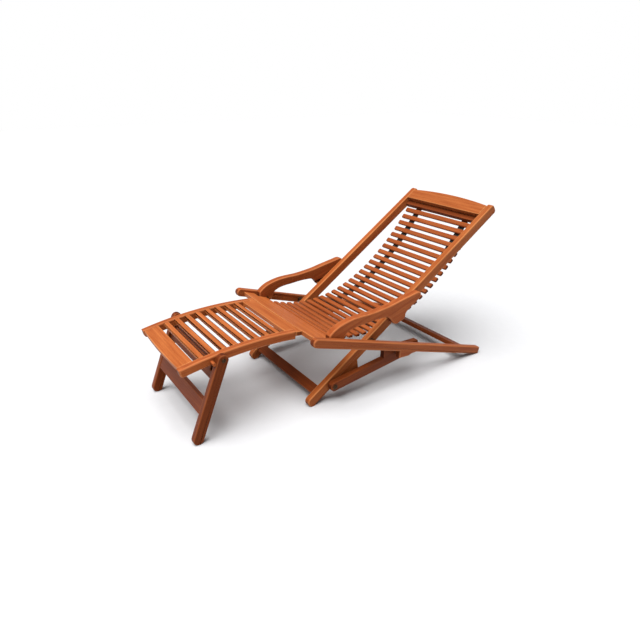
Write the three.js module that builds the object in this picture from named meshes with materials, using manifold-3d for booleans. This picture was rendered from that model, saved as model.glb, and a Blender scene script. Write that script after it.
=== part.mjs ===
// A folding steamer deck chair of oiled hardwood with a slatted sling, curved armrests,
// notched rack bars that prop the back, and a separate footrest on folding legs.
// Millimetres. X runs from the footrest to the head, Z is up, the left side is minus Y.
import * as THREE from "three";
import { mergeVertices } from "three/addons/utils/BufferGeometryUtils.js";
import Module from "manifold-3d";

const wasm = await Module();
wasm.setup();

// whole chair
const seatWidth = 640;
const clearance = 0.3;
const overrun = 40;
const weld = 0.0001;
const curveSteps = 12;
const roundSteps = 2;
const pinSides = 20;

// seat frame: two straight rails that cross the back frame at the pivot
const pivotFromFoot = 297;
const pivotHeight = 211.5;
const railSlope = THREE.MathUtils.degToRad(17.94);
const railThick = 28;
const railDepth = 36;
const railFront = 322;
const railFootLength = 14;
const railEndRound = 11;
const layerRoom = 39;

// back frame: two stiles that stand on the floor in front and carry the headboard
const stileSlope = THREE.MathUtils.degToRad(34);
const stileThick = 28;
const stileDepth = 42;
const stileAbovePivot = 817;
const stileEndRound = 15;
const footCut = 1.7;
const stileTopRoom = 14;

// lower part of the rails that holds the peg of the rack bars
const rackPegFromPivot = 155.6;
const rackPegDrop = 16.4;
const rackPegRadius = 6;
const lobeLength = 100;
const lobeLead = 41.6;
const lobeDrop = 31.6;
const lobeShares = [[0, 0], [0.1, 1], [0.6, 0.6], [0.76, 0.26], [1, 0]];

// boards and bars across the seat frame
const frontBoardWidth = 112;
const frontBoardThick = 20;
const frontBoardTilt = THREE.MathUtils.degToRad(3);
const frontBoardSink = 16;
const frontBoardBulge = 25;
const frontBoardFromPivot = 211;
const frontBoardNotch = 48;
const armrestNotchGap = 2.4;
const rearBarWidth = 44;
const rearBarThick = 20;
const rearBarSink = 4;
const rearBarFromPivot = 523;
const ledgeReach = 17;
const ledgeHold = 29;
const ledgeThick = 18;
const ledgeAbovePivot = 89.5;
const footrestSideGap = 1.5;
const locatorRadius = 4;
const locatorRise = 8;
const locatorSpread = 120;
const blindDepth = 18;

// boards across the back frame
const headboardHeight = 58;
const headboardArch = 15;
const headboardThick = 22;
const footBarWidth = 41;
const footBarThick = 20;
const footBarShare = 0.0634;
const footBarSet = 7;
const webLength = 97;
const webReach = 38;
const webFromPivot = 94;
const webShares = [[0, 0], [-0.17, 0.9], [-0.2, 0.98], [-0.27, 0.96], [-1, 0]];

// armrests
const armThick = 32;
const armPinFromPivot = 204;
const armReach = 425;
const armRise = 114;
const armPegAlongStile = 136;
const armPegOffset = 12;
const armPegRadius = 4;
const armPegEndGap = 0.6;
const armPinRadius = 5;
const armGrooveDepth = 13;
const armGrooveWidth = 15;
const armTravelIn = 29;
const armTravelOut = 44;
const armTopShares = [
  [-0.088, 0.2], [-0.081, 0.31], [-0.025, 0.466], [0.039, 0.57], [0.148, 0.66], [0.259, 0.684],
  [0.372, 0.68], [0.487, 0.71], [0.607, 0.765], [0.727, 0.85], [0.85, 0.93], [0.951, 1],
];
const armTipShares = [[0.951, 1], [0.984, 0.975], [1, 0.89], [0.988, 0.76], [0.945, 0.63]];
const armRearShares = [
  [0.945, 0.63], [0.852, 0.42], [0.815, 0.29], [0.811, 0.17], [0.79, 0.085], [0.744, 0.02],
  [0.704, -0.02], [0.663, 0.03], [0.637, 0.14],
];
const armUnderShares = [
  [0.637, 0.14], [0.6, 0.3], [0.554, 0.365], [0.434, 0.38], [0.319, 0.352], [0.206, 0.325],
  [0.136, 0.265], [0.09, 0.17], [0.078, 0.07],
];
const armFootShares = [
  [0.078, 0.07], [0.06, -0.085], [0, -0.165], [-0.06, -0.09], [-0.085, 0.06], [-0.088, 0.2],
];

// rack bars that prop the back
const rackThick = 24;
const rackPinShare = 0.70355;
const rackPegLean = THREE.MathUtils.degToRad(4.4);
const rackBarDepth = 39;
const rackPinRadius = 5;
const rackPlateLead = 99;
const rackPlateTail = 95;
const rackPlateLean = 6;
const rackPlateRise = 63;
const rackPlateEndRise = 30;
const rackCorner = 10;
const rackTravelIn = 27;
const rackTravelOut = 44;
const rackSlotWidth = 18;
const rackSlotTilt = THREE.MathUtils.degToRad(-9);
const rackNotchStep = 20;
const rackNotchRise = 3;
const rackNotchCount = 4;

// slatted sling, hung on two webbing straps between the front board and the top bar
const slatCount = 26;
const seatSlats = 6;
const bendSlats = 3;
const slatWidth = 22;
const slatThick = 14;
const slatRound = 4;
const slatRoom = 10;
const topBarWidth = 28;
const topBarThick = 20;
const topBarFromPivot = 735;
const slingEndFromPivot = 728;
const topBarFront = 23;
const slingDropAtTop = 8;
const slingLead = 9;
const slingTail = 10;
const slingHandleShares = [[0.293, -0.294], [0.706, -0.185]];
const strapWidth = 36;
const strapThick = 2;
const strapFromSlatEnd = 68;
const strapSplit = 0.8;
const strapLead = 1.5;
const strapSteps = 36;

// footrest
const footrestSideRoom = 118.5;
const footrestRailThick = 28;
const footrestDepth = 33;
const footrestFront = -486;
const footrestRear = -28;
const footrestAbovePivot = 100;
const footrestCrestAt = -184;
const footrestRadius = 1510;
const footrestEndRound = 13;
const footrestBoardThick = 18;
const footrestFrontBoard = 57;
const footrestFrontBulge = 5;
const footrestNose = 4;
const footrestRearBoard = 35;
const footrestRearGap = 1.5;
const footrestSlatCount = 8;
const footrestSlatWidth = 24;
const footrestSlatThick = 16;
const footrestInset = 2;

// footrest legs
const legThick = 26;
const legDepth = 40;
const legPivotAt = -338;
const legRake = THREE.MathUtils.degToRad(22.4);
const legSideGap = 1.5;
const legBoltRadius = 4;
const legBoltHead = 8;
const legBoltHeadThick = 3;
const legBarWidth = 57;
const legBarThick = 20;
const legBarFromPivot = 162;
const legBoardWidth = 58;
const legBoardThick = 18;
const legBoardSet = 10;
const crossboardSideGap = 0.9;
const legBoardFromPivot = 28;
const legBoardTongue = 28;
const stopPegRadius = 7;
const stopPegAlong = 20;
const stopPegReach = 24;

// pivot bolts
const boltRadius = 4;
const boltHeadRadius = 9;
const boltHeadThick = 3;
const bushRadius = 11;

// distances from the middle of the chair, out to each layer
const railOuter = seatWidth / 2;
const railInner = railOuter - railThick;
const stileOuter = railInner - layerRoom;
const stileInner = stileOuter - stileThick;
const armOuter = railInner - (layerRoom - armThick) / 2 + clearance;
const armInner = armOuter - armThick;
const rackOuter = railInner - (layerRoom - rackThick) / 2;
const rackInner = rackOuter - rackThick;
const slatHalf = stileInner - slatRoom;
const strapOffset = slatHalf - strapFromSlatEnd;
const footrestOuter = railOuter - footrestSideRoom;
const footrestInner = footrestOuter - footrestRailThick;
const legInner = footrestOuter + legSideGap;
const legOuter = legInner + legThick;

// heights of the footrest and of the ledge that it hangs on, which go with the pivot
const footrestCrest = pivotHeight + footrestAbovePivot;
const ledgeHeight = pivotHeight + ledgeAbovePivot;

const oiledTeak = { color: 0xa9592f, roughness: 0.55, metalness: 0 };
const darkTeak = { color: 0x8a4526, roughness: 0.6, metalness: 0 };
const blackWebbing = { color: 0x16130f, roughness: 0.9, metalness: 0 };
const zincSteel = { color: 0xb9b4aa, roughness: 0.35, metalness: 1 };

// joining and cutting
function toSolid(geometry) {
  const bare = geometry.clone();
  bare.deleteAttribute("normal");
  bare.deleteAttribute("uv");
  const merged = mergeVertices(bare, weld);
  const mesh = new wasm.Mesh({
    numProp: 3,
    vertProperties: new Float32Array(merged.attributes.position.array),
    triVerts: new Uint32Array(merged.index.array),
  });
  return new wasm.Manifold(mesh);
}

function toGeometry(solid) {
  const mesh = solid.getMesh();
  const geometry = new THREE.BufferGeometry();
  geometry.setAttribute("position", new THREE.BufferAttribute(new Float32Array(mesh.vertProperties), 3));
  geometry.setIndex(new THREE.BufferAttribute(new Uint32Array(mesh.triVerts), 1));
  geometry.computeVertexNormals();
  return geometry;
}

function cutFrom(geometry, tools) {
  let solid = toSolid(geometry);
  for (const tool of tools) {
    solid = solid.subtract(toSolid(tool));
  }
  return toGeometry(solid);
}

function joined(geometries) {
  let solid = toSolid(geometries[0]);
  for (const geometry of geometries.slice(1)) {
    solid = solid.add(toSolid(geometry));
  }
  return toGeometry(solid);
}

// a mesh with its name and its finish
function piece(name, geometry, finish) {
  const mesh = new THREE.Mesh(geometry, new THREE.MeshStandardMaterial(finish));
  mesh.name = name;
  return mesh;
}

// an outline whose corners are rounded, one radius for each point
function roundedShape(points, radii) {
  const shape = new THREE.Shape();
  const count = points.length;
  for (let i = 0; i < count; i += 1) {
    const here = new THREE.Vector2(...points[i]);
    const before = new THREE.Vector2(...points[(i + count - 1) % count]);
    const after = new THREE.Vector2(...points[(i + 1) % count]);
    const radius = radii[i];
    const start = here.clone().add(before.sub(here).setLength(radius));
    const end = here.clone().add(after.sub(here).setLength(radius));
    if (i === 0) shape.moveTo(start.x, start.y);
    else shape.lineTo(start.x, start.y);
    if (radius > 0) shape.quadraticCurveTo(here.x, here.y, end.x, end.y);
  }
  return shape;
}

// a board sawn to a side outline, standing between two distances from the middle on one side
function sideBoard(shape, inner, outer, side) {
  const board = new THREE.ExtrudeGeometry(shape, {
    depth: outer - inner, bevelEnabled: false, curveSegments: curveSteps,
  });
  board.rotateX(Math.PI / 2);
  board.translate(0, side > 0 ? outer : -inner, 0);
  return board;
}

// a round pin along Y between two distances from the middle on one side
function crossPin(x, z, radius, inner, outer, side) {
  const pin = new THREE.CylinderGeometry(radius, radius, outer - inner, pinSides);
  pin.translate(x, (side * (inner + outer)) / 2, z);
  return pin;
}

// a block given by its lowest and highest corners
function block(low, high) {
  const box = new THREE.BoxGeometry(high[0] - low[0], high[1] - low[1], high[2] - low[2]);
  box.translate((low[0] + high[0]) / 2, (low[1] + high[1]) / 2, (low[2] + high[2]) / 2);
  return box;
}

// a board lying in the XY plane of its group, from a plan outline
function planBoard(shape, low, high) {
  const board = new THREE.ExtrudeGeometry(shape, {
    depth: high - low, bevelEnabled: false, curveSegments: curveSteps,
  });
  board.translate(0, 0, low);
  return board;
}

// everything under the floor, seen from a group that is turned about the pivot
function floorTool(pivotZ, slope) {
  const span = seatWidth * 4;
  const ground = block([-span, -span, -pivotZ - overrun * 4], [span, span, -pivotZ]);
  ground.rotateY(-slope);
  return ground;
}

const sides = [["left", -1], ["right", 1]];
const chair = new THREE.Group();
const seatFrame = new THREE.Group();
seatFrame.position.set(pivotFromFoot, 0, pivotHeight);
seatFrame.rotation.y = railSlope;
const backFrame = new THREE.Group();
backFrame.position.set(pivotFromFoot, 0, pivotHeight);
backFrame.rotation.y = -stileSlope;
chair.add(seatFrame, backFrame);

// a point of a turned group, in the frame of the chair
function fromPivot(angle, along, up) {
  return new THREE.Vector2(
    pivotFromFoot + along * Math.cos(angle) - up * Math.sin(angle),
    pivotHeight + along * Math.sin(angle) + up * Math.cos(angle),
  );
}

// seat rails, each drilled for the peg that its rack bar hooks over
const railReachToFloor = (pivotHeight - (railDepth / 2) * Math.cos(railSlope)) / Math.sin(railSlope);
const railRear = railReachToFloor + railFootLength;
const blindEnd = railInner + blindDepth - clearance;

function railShape() {
  const half = railDepth / 2;
  const lobeStart = rackPegFromPivot - lobeLead;
  const shape = new THREE.Shape();
  shape.absarc(-railFront, 0, half, Math.PI / 2, Math.PI * 1.5, false);
  for (const [along, down] of lobeShares) {
    shape.lineTo(lobeStart + along * lobeLength, -half - down * lobeDrop);
  }
  shape.lineTo(railRear, -half);
  shape.lineTo(railRear, half - railEndRound);
  shape.quadraticCurveTo(railRear, half, railRear - railEndRound, half);
  return shape;
}

function railGeometry(side) {
  const blind = railInner + blindDepth;
  return cutFrom(sideBoard(railShape(), railInner, railOuter, side), [
    crossPin(0, 0, boltRadius + clearance, railInner - overrun, blind, side),
    crossPin(-armPinFromPivot, 0, armPinRadius + clearance, railInner - overrun, blind, side),
    crossPin(rackPegFromPivot, -rackPegDrop, rackPegRadius + clearance, railInner - overrun, blind, side),
    floorTool(pivotHeight, railSlope),
  ]);
}

for (const [word, side] of sides) {
  seatFrame.add(piece(`seat_rail_${word}`, railGeometry(side), oiledTeak));
  seatFrame.add(piece(`rack_peg_${word}`, crossPin(
    rackPegFromPivot, -rackPegDrop, rackPegRadius, rackInner - clearance, blindEnd, side,
  ), darkTeak));
}

// front board of the seat, let in between the rails and notched around the armrests; under its
// front edge a ledge with two locating pegs carries the footrest
const boardTop = railDepth / 2 - frontBoardSink;
const boardRear = -frontBoardFromPivot;
const boardHalf = railInner - clearance;
const notchHalf = armInner - armrestNotchGap;
const notchFrom = frontBoardFromPivot - armPinFromPivot - frontBoardNotch;
const boardRearEdge = fromPivot(-railSlope, boardRear, boardTop);
const boardSlope = railSlope + frontBoardTilt;
const boardReach = frontBoardWidth * Math.cos(boardSlope);

// the plan of the board, seen from above and measured from its rear edge
function frontBoardPlan() {
  const corner = frontBoardBulge / 2 - boardReach;
  const shape = new THREE.Shape();
  shape.moveTo(corner, -boardHalf);
  shape.lineTo(notchFrom, -boardHalf);
  shape.lineTo(notchFrom, -notchHalf);
  shape.lineTo(overrun, -notchHalf);
  shape.lineTo(overrun, notchHalf);
  shape.lineTo(notchFrom, notchHalf);
  shape.lineTo(notchFrom, boardHalf);
  shape.lineTo(corner, boardHalf);
  shape.quadraticCurveTo(corner - frontBoardBulge, 0, corner, -boardHalf);
  return shape;
}

const seatEdge = boardRearEdge.x - boardReach;
const ledgeHalf = footrestInner - footrestSideGap;
const locatorAt = seatEdge - ledgeReach / 2;

function ledgeBlock(gap) {
  return block(
    [seatEdge - ledgeReach - gap, -ledgeHalf - gap, ledgeHeight - ledgeThick - gap],
    [seatEdge + ledgeHold, ledgeHalf + gap, ledgeHeight + gap],
  );
}

function locator(side, gap) {
  const peg = new THREE.CylinderGeometry(
    locatorRadius + gap, locatorRadius + gap, ledgeThick + locatorRise + gap, pinSides,
  );
  peg.rotateX(Math.PI / 2);
  peg.translate(locatorAt, side * locatorSpread, ledgeHeight - (ledgeThick - locatorRise - gap) / 2);
  return peg;
}

function frontBoardGeometry() {
  const slab = block([-frontBoardWidth - overrun, -railInner, -frontBoardThick], [0, railInner, 0]);
  slab.rotateY(boardSlope);
  slab.translate(boardRearEdge.x, 0, boardRearEdge.y);
  const plan = planBoard(frontBoardPlan(), 0, ledgeHeight + overrun);
  plan.translate(boardRearEdge.x, 0, 0);
  const board = toGeometry(toSolid(slab).intersect(toSolid(plan)));
  return joined([board, ledgeBlock(0), locator(-1, 0), locator(1, 0)]);
}
chair.add(piece("seat_front_board", frontBoardGeometry(), oiledTeak));

const rearBarHalf = railInner - clearance;
const rearBarTop = railDepth / 2 - rearBarSink;
seatFrame.add(piece("seat_rear_stretcher", block(
  [rearBarFromPivot - rearBarWidth / 2, -rearBarHalf, rearBarTop - rearBarThick],
  [rearBarFromPivot + rearBarWidth / 2, rearBarHalf, rearBarTop],
), darkTeak));

// a turned bolt along Y, from steps of radius, inner end and outer end
function boltSteps(x, z, side, steps) {
  return joined(steps.map(([radius, inner, outer]) => crossPin(x, z, radius, inner, outer, side)));
}

const innerHead = stileInner - clearance - boltHeadThick;
for (const [word, side] of sides) {
  seatFrame.add(piece(`scissor_bolt_${word}`, boltSteps(0, 0, side, [
    [boltRadius, innerHead, blindEnd],
    [boltHeadRadius, innerHead, stileInner - clearance],
    [bushRadius, stileOuter + clearance, railInner - clearance],
  ]), zincSteel));
  seatFrame.add(piece(`armrest_bolt_${word}`, boltSteps(-armPinFromPivot, 0, side, [
    [armPinRadius, armInner, blindEnd],
    [bushRadius, armOuter + clearance, railInner - clearance],
  ]), zincSteel));
}

// stiles of the back frame
const stileHalf = stileDepth / 2;
const stileBelow = (pivotHeight - stileHalf + footCut) / Math.sin(stileSlope);
const rackPinFromPivot = stileBelow * rackPinShare;

function stileShape() {
  const shape = new THREE.Shape();
  shape.moveTo(stileAbovePivot, -stileHalf + stileEndRound);
  shape.lineTo(stileAbovePivot, stileHalf - stileEndRound);
  shape.quadraticCurveTo(stileAbovePivot, stileHalf, stileAbovePivot - stileEndRound, stileHalf);
  shape.absarc(-stileBelow, 0, stileHalf, Math.PI / 2, Math.PI * 1.5, false);
  shape.lineTo(stileAbovePivot - stileEndRound, -stileHalf);
  shape.quadraticCurveTo(stileAbovePivot, -stileHalf, stileAbovePivot, -stileHalf + stileEndRound);
  return shape;
}

function webShape() {
  const points = webShares.map(([along, out]) => new THREE.Vector2(
    -webFromPivot + along * webLength, -stileHalf + clearance - out * (webReach + clearance),
  ));
  return new THREE.Shape(points);
}

function stileGeometry(side) {
  const reach = stileOuter + overrun;
  const stile = joined([
    sideBoard(stileShape(), stileInner, stileOuter, side),
    sideBoard(webShape(), stileInner, stileOuter, side),
    crossPin(
      armPegAlongStile, armPegOffset, armPegRadius,
      stileOuter - blindDepth, armInner + armGrooveDepth - armPegEndGap, side,
    ),
  ]);
  return cutFrom(stile, [
    crossPin(0, 0, boltRadius + clearance, stileInner - overrun, reach, side),
    crossPin(-rackPinFromPivot, 0, rackPinRadius + clearance, stileInner - overrun, reach, side),
    floorTool(pivotHeight, -stileSlope),
  ]);
}

for (const [word, side] of sides) {
  backFrame.add(piece(`back_stile_${word}`, stileGeometry(side), oiledTeak));
  backFrame.add(piece(`rack_bolt_${word}`, boltSteps(-rackPinFromPivot, 0, side, [
    [rackPinRadius, innerHead, rackOuter + clearance + boltHeadThick],
    [boltHeadRadius, innerHead, stileInner - clearance],
    [bushRadius, stileOuter + clearance, rackInner - clearance],
    [bushRadius, rackOuter + clearance, rackOuter + clearance + boltHeadThick],
  ]), zincSteel));
}

// headboard, arched along its top edge, flush with the front of the stiles
function headboardShape() {
  const half = stileInner - clearance;
  const top = stileAbovePivot - stileTopRoom;
  const low = top - headboardHeight;
  const shape = new THREE.Shape();
  shape.moveTo(low, -half);
  shape.lineTo(top, -half);
  shape.quadraticCurveTo(top + headboardArch * 2, 0, top, half);
  shape.lineTo(low, half);
  return shape;
}
backFrame.add(piece("headboard", planBoard(
  headboardShape(), stileHalf - headboardThick, stileHalf,
), oiledTeak));

const footBarLow = stileBelow * (footBarShare - 1);
backFrame.add(piece("front_stretcher", block(
  [footBarLow, -stileInner + clearance, stileHalf - footBarSet - footBarThick],
  [footBarLow + footBarWidth, stileInner - clearance, stileHalf - footBarSet],
), darkTeak));

const topBarLow = topBarFromPivot - topBarWidth / 2;
function topBarBlock(gap) {
  const half = stileInner - clearance;
  return block(
    [topBarLow - gap, -half, stileHalf - topBarFront - topBarThick - gap],
    [topBarLow + topBarWidth + gap, half, stileHalf - topBarFront + gap],
  );
}
backFrame.add(piece("sling_top_bar", topBarBlock(0), darkTeak));

// armrests, turning on a pin inside the front of each rail
const armPin = fromPivot(-railSlope, -armPinFromPivot, 0);
const armPeg = fromPivot(stileSlope, armPegAlongStile, armPegOffset);

function spread(shares) {
  return shares.map(([along, up]) => new THREE.Vector2(along * armReach, up * armRise));
}

function armShape() {
  const shape = new THREE.Shape();
  const runs = [armTopShares, armTipShares, armRearShares, armUnderShares, armFootShares];
  const start = spread(armTopShares)[0];
  shape.moveTo(start.x, start.y);
  for (const run of runs) {
    shape.splineThru(spread(run).slice(1));
  }
  return shape;
}

function armGeometry(side) {
  const toPeg = armPeg.clone().sub(armPin);
  const half = armGrooveWidth / 2;
  const from = toPeg.length() - armTravelIn;
  const to = toPeg.length() + armTravelOut;
  const inside = Math.min(side * (armInner - overrun), side * (armInner + armGrooveDepth));
  const outside = Math.max(side * (armInner - overrun), side * (armInner + armGrooveDepth));
  const groove = joined([
    block([from, inside, -half], [to, outside, half]),
    crossPin(from, 0, half, armInner - overrun, armInner + armGrooveDepth, side),
    crossPin(to, 0, half, armInner - overrun, armInner + armGrooveDepth, side),
  ]);
  groove.rotateY(-toPeg.angle());
  return cutFrom(sideBoard(armShape(), armInner, armOuter, side), [
    crossPin(0, 0, armPinRadius + clearance, armInner - overrun, armOuter + overrun, side),
    groove,
  ]);
}

for (const [word, side] of sides) {
  const arm = piece(`armrest_${word}`, armGeometry(side), oiledTeak);
  arm.position.set(armPin.x, 0, armPin.y);
  chair.add(arm);
}

// rack bars, pinned low on the stiles, with a notched slot that rides on the pegs of the rails
const rackPin = fromPivot(stileSlope, -rackPinFromPivot, 0);
const rackPeg = fromPivot(-railSlope, rackPegFromPivot, -rackPegDrop);
const rackReach = rackPeg.clone().sub(rackPin);
const rackSlope = rackReach.angle() - rackPegLean;
const rackPlateFrom = rackReach.length() - rackPlateLead;
const rackPlateTo = rackReach.length() + rackPlateTail;

function rackShape() {
  const half = rackBarDepth / 2;
  const shape = new THREE.Shape();
  shape.absarc(0, 0, half, Math.PI / 2, Math.PI * 1.5, false);
  shape.lineTo(rackPlateTo - rackCorner, -half);
  shape.quadraticCurveTo(rackPlateTo, -half, rackPlateTo, -half + rackCorner);
  shape.lineTo(rackPlateTo, rackPlateEndRise - rackCorner);
  shape.quadraticCurveTo(rackPlateTo, rackPlateEndRise, rackPlateTo - rackCorner, rackPlateEndRise);
  shape.lineTo(rackPlateFrom + rackPlateLean, rackPlateRise);
  shape.lineTo(rackPlateFrom, half);
  return shape;
}

function rackSlot(side) {
  const half = rackSlotWidth / 2;
  const inner = rackInner - overrun;
  const outer = rackOuter + overrun;
  const tools = [
    block([-rackTravelIn, Math.min(side * inner, side * outer), -half],
      [rackTravelOut, Math.max(side * inner, side * outer), half]),
    crossPin(-rackTravelIn, 0, half, inner, outer, side),
    crossPin(rackTravelOut, 0, half, inner, outer, side),
  ];
  for (let i = 0; i < rackNotchCount; i += 1) {
    tools.push(crossPin((i - 1) * rackNotchStep, rackNotchRise, half, inner, outer, side));
  }
  const slot = joined(tools);
  const peg = rackReach.clone().rotateAround(new THREE.Vector2(), -rackSlope);
  slot.rotateY(-rackSlotTilt);
  slot.translate(peg.x, 0, peg.y);
  return slot;
}

for (const [word, side] of sides) {
  const bar = piece(`rack_bar_${word}`, cutFrom(sideBoard(rackShape(), rackInner, rackOuter, side), [
    crossPin(0, 0, rackPinRadius + clearance, rackInner - overrun, rackOuter + overrun, side),
    rackSlot(side),
  ]), darkTeak);
  bar.position.set(rackPin.x, 0, rackPin.y);
  bar.rotation.y = -rackSlope;
  chair.add(bar);
}

// the line that the tops of the sling slats follow
const slingStart = fromPivot(-railSlope, boardRear + clearance, boardTop);
const slingEnd = fromPivot(stileSlope, slingEndFromPivot, -slingDropAtTop);
const slingChord = slingEnd.clone().sub(slingStart);
const slingNormal = new THREE.Vector2(-slingChord.y, slingChord.x);

function slingHandle([along, up]) {
  return slingStart.clone().addScaledVector(slingChord, along).addScaledVector(slingNormal, up);
}
const slingLine = new THREE.CubicBezierCurve(
  slingStart, slingHandle(slingHandleShares[0]), slingHandle(slingHandleShares[1]), slingEnd,
);
const slingLength = slingLine.getLength();
const slatPitch = (slingLength - slingLead - slingTail) / slatCount;

// a slat across the sling, with its top face on the line at the given length along it
function slatAt(along, width, half) {
  const round = slatRound;
  const section = roundedShape([
    [-width / 2, -slatThick], [width / 2, -slatThick], [width / 2, 0], [-width / 2, 0],
  ], [round, round, round, round]);
  const slat = new THREE.ExtrudeGeometry(section, {
    depth: half * 2, bevelEnabled: false, curveSegments: roundSteps,
  });
  slat.rotateX(Math.PI / 2);
  slat.translate(0, half, 0);
  const place = slingLine.getPointAt(along / slingLength);
  const tangent = slingLine.getTangentAt(along / slingLength);
  slat.rotateY(-tangent.angle());
  slat.translate(place.x, 0, place.y);
  return slat;
}

function slingSlat(index) {
  return slatAt(slingLead + (index + 1 / 2) * slatPitch, slatWidth, slatHalf);
}

// webbing under the slats
function strapRun(from, to, gap) {
  const upper = [];
  const lower = [];
  for (let i = 0; i <= strapSteps; i += 1) {
    const share = Math.min((from + ((to - from) * i) / strapSteps) / slingLength, 1);
    const place = slingLine.getPointAt(share);
    const tangent = slingLine.getTangentAt(share);
    const normal = new THREE.Vector2(-tangent.y, tangent.x);
    upper.push(place.clone().addScaledVector(normal, -slatThick - gap));
    lower.push(place.clone().addScaledVector(normal, -slatThick - gap - strapThick));
  }
  return new THREE.Shape(lower.concat(upper.reverse()));
}

function strap(from, to, gap, side) {
  const shape = strapRun(from, to, gap);
  return sideBoard(shape, strapOffset - strapWidth / 2, strapOffset + strapWidth / 2, side);
}

// slats with the webbing that they are stapled to, as one piece
function slingPart(name, first, count, from, to) {
  const solids = [strap(from, to, -clearance, -1), strap(from, to, -clearance, 1)];
  for (let i = first; i < first + count; i += 1) {
    solids.push(slingSlat(i));
  }
  chair.add(piece(name, joined(solids), oiledTeak));
}

const bendFrom = slingLead + seatSlats * slatPitch;
const bendTo = bendFrom + bendSlats * slatPitch;
const split = strapSplit / 2;
slingPart("sling_seat", 0, seatSlats, strapLead, bendFrom - split);
slingPart("sling_bend", seatSlats, bendSlats, bendFrom + split, bendTo - split);
for (let i = seatSlats + bendSlats; i < slatCount; i += 1) {
  chair.add(piece(`back_slat_${i + 1}`, slingSlat(i), oiledTeak));
}

const topBarTool = topBarBlock(clearance);
topBarTool.rotateY(-stileSlope);
topBarTool.translate(pivotFromFoot, 0, pivotHeight);
for (const [word, side] of sides) {
  const backStrap = cutFrom(strap(bendTo + split, slingLength, clearance, side), [topBarTool]);
  chair.add(piece(`back_strap_${word}`, backStrap, blackWebbing));
}

// footrest: arched rails, two boards and narrow slats
function archAngle(x) {
  return Math.asin((x - footrestCrestAt) / footrestRadius);
}

function archPoint(x, up) {
  const angle = archAngle(x);
  return new THREE.Vector2(
    footrestCrestAt + (footrestRadius + up) * Math.sin(angle),
    footrestCrest - footrestRadius + (footrestRadius + up) * Math.cos(angle),
  );
}

function footrestRailShape() {
  const half = footrestDepth / 2;
  const steps = curveSteps * 2;
  const shape = new THREE.Shape();
  const points = [];
  for (let i = 0; i <= steps; i += 1) {
    points.push(archPoint(footrestRear + ((footrestFront - footrestRear) * i) / steps, half));
  }
  shape.moveTo(points[0].x, points[0].y);
  points.slice(1).forEach((point) => shape.lineTo(point.x, point.y));
  const corner = archPoint(footrestFront, -half);
  const above = archPoint(footrestFront, -half + footrestEndRound);
  const behind = archPoint(footrestFront + footrestEndRound, -half);
  shape.lineTo(above.x, above.y);
  shape.quadraticCurveTo(corner.x, corner.y, behind.x, behind.y);
  for (let i = 1; i <= steps; i += 1) {
    const from = footrestFront + footrestEndRound;
    const point = archPoint(from + ((footrestRear - from) * i) / steps, -half);
    shape.lineTo(point.x, point.y);
  }
  return shape;
}

const legPivot = archPoint(legPivotAt, 0);
const legLength = (legPivot.y - legDepth / 2 + footCut) / Math.cos(legRake);
const legDown = new THREE.Vector2(-Math.sin(legRake), -Math.cos(legRake));
const legBack = new THREE.Vector2(Math.cos(legRake), -Math.sin(legRake));
const stopPegSet = legDepth / 2 + clearance + stopPegRadius;
const stopPeg = legPivot.clone()
  .addScaledVector(legDown, stopPegAlong)
  .addScaledVector(legBack, -stopPegSet);

for (const [word, side] of sides) {
  const root = footrestOuter - blindDepth;
  const rail = joined([
    sideBoard(footrestRailShape(), footrestInner, footrestOuter, side),
    crossPin(stopPeg.x, stopPeg.y, stopPegRadius, root, footrestOuter + stopPegReach, side),
  ]);
  chair.add(piece(`footrest_rail_${word}`, cutFrom(rail, [
    crossPin(legPivot.x, legPivot.y, legBoltRadius + clearance, root, footrestOuter + overrun, side),
  ]), oiledTeak));
}

// a board or slat across the footrest, lying on the arch at a place along it
function layOnArch(mesh, x) {
  const place = archPoint(x, footrestDepth / 2 - footrestInset);
  mesh.position.set(place.x, 0, place.y);
  mesh.rotation.y = archAngle(x);
  chair.add(mesh);
}

const footrestHalf = footrestInner - clearance;
const frontBoardAt = footrestFront + footrestNose + footrestFrontBoard / 2;

function footrestFrontShape() {
  const half = footrestFrontBoard / 2;
  const shape = new THREE.Shape();
  shape.moveTo(-half, -footrestHalf);
  shape.lineTo(half, -footrestHalf);
  shape.lineTo(half, footrestHalf);
  shape.lineTo(-half, footrestHalf);
  shape.quadraticCurveTo(-half - footrestFrontBulge * 2, 0, -half, -footrestHalf);
  return shape;
}
const footrestFrontSolid = planBoard(footrestFrontShape(), -footrestBoardThick, 0);
layOnArch(piece("footrest_front_board", footrestFrontSolid, oiledTeak), frontBoardAt);

// the rear board reaches past the ends of its rails, and is hollowed to the front board of the seat
const rearBoardEnd = seatEdge - footrestRearGap;
const rearBoardFrom = footrestRear - footrestRearBoard;
const rearBoardAt = footrestRear;

function footrestRearShape() {
  const bow = (frontBoardBulge / 2) * (footrestOuter / boardHalf) ** 2;
  const rear = rearBoardEnd - rearBoardAt;
  const shape = new THREE.Shape();
  shape.moveTo(rearBoardFrom - rearBoardAt, -footrestHalf);
  shape.lineTo(clearance, -footrestHalf);
  shape.lineTo(clearance, -footrestOuter);
  shape.lineTo(rear + bow, -footrestOuter);
  shape.quadraticCurveTo(rear - bow, 0, rear + bow, footrestOuter);
  shape.lineTo(clearance, footrestOuter);
  shape.lineTo(clearance, footrestHalf);
  shape.lineTo(rearBoardFrom - rearBoardAt, footrestHalf);
  return shape;
}

function rearBoardGeometry() {
  const place = archPoint(rearBoardAt, footrestDepth / 2 - footrestInset);
  const board = planBoard(footrestRearShape(), -footrestBoardThick, 0);
  board.rotateY(archAngle(rearBoardAt));
  board.translate(place.x, 0, place.y);
  return cutFrom(board, [ledgeBlock(clearance), locator(-1, clearance), locator(1, clearance)]);
}
chair.add(piece("footrest_rear_board", rearBoardGeometry(), oiledTeak));

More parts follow.
